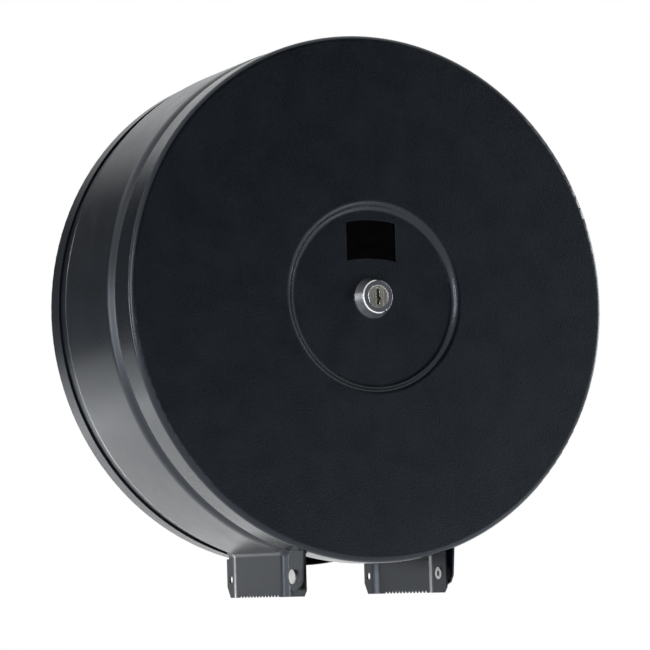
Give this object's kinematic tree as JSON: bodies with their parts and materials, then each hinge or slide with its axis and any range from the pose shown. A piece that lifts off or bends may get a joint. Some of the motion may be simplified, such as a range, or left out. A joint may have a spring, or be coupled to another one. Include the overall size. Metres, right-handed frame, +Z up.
{
  "type": "jumbo toilet roll dispenser",
  "caption": "Wall-hung round steel dispenser for a jumbo toilet roll, with a hinged front cover that locks, a level window and two toothed tear flaps.",
  "frame": {"origin": "centre of the back pan's rear face, on the wall, on the drum's axis", "axes": "+Y into the wall, along the drum's axis; the front cover faces -Y; +Z up; +X to the right as the front is seen"},
  "size_m": [0.3114, 0.131, 0.3289],
  "materials": {
    "cover_paint": "fine-textured satin powder coat",
    "drum_paint": "satin powder coat",
    "pan_paint": "satin powder coat",
    "zinc_steel": "zinc plated",
    "lock_chrome": "polished",
    "plug_nickel": "satin nickel",
    "rivet_aluminium": "dull",
    "nylon": "matt",
    "sleeve_plastic": "satin moulded",
    "smoked_pane": "polished"
  },
  "bodies": {
    "drum": {"back_pan": "pan_paint", "drum_shell": "drum_paint", "shell_tabs": "zinc_steel", "tab_rivets": "rivet_aluminium", "spindle": "zinc_steel", "spindle_rivets": "rivet_aluminium", "rear_sleeve_washer": "nylon", "front_sleeve_washer": "nylon", "retaining_ring": "zinc_steel", "end_plug": "zinc_steel", "strike_bracket": "zinc_steel", "strike_washer": "zinc_steel", "strike_screw": "zinc_steel", "hinge_rivet_left": "rivet_aluminium", "hinge_rivet_right": "rivet_aluminium", "hinge_washer_left": "nylon", "hinge_washer_right": "nylon"},
    "cover": {"front_cover": "cover_paint", "window_pane": "smoked_pane", "lock_housing": "lock_chrome", "lock_washer": "zinc_steel", "lock_nut": "zinc_steel"},
    "lock_barrel": {"lock_plug": "plug_nickel", "lock_cam": "zinc_steel", "cam_screw": "zinc_steel"},
    "sleeve": {"core_sleeve": "sleeve_plastic"}
  },
  "joints": [
    {"name": "cover_hinge", "type": "hinge", "parent": "drum", "child": "cover", "pos_m": [0, -0.1104, -0.1616], "axis": [1, 0, 0], "range_deg": [0, 175]},
    {"name": "lock_turn", "type": "hinge", "parent": "cover", "child": "lock_barrel", "pos_m": [0, -0.12, 0], "axis": [0, 1, 0], "range_deg": [0, 90]},
    {"name": "sleeve_spin", "type": "hinge", "parent": "drum", "child": "sleeve", "pos_m": [0, -0.05, 0], "axis": [0, 1, 0], "continuous": true}
  ]
}
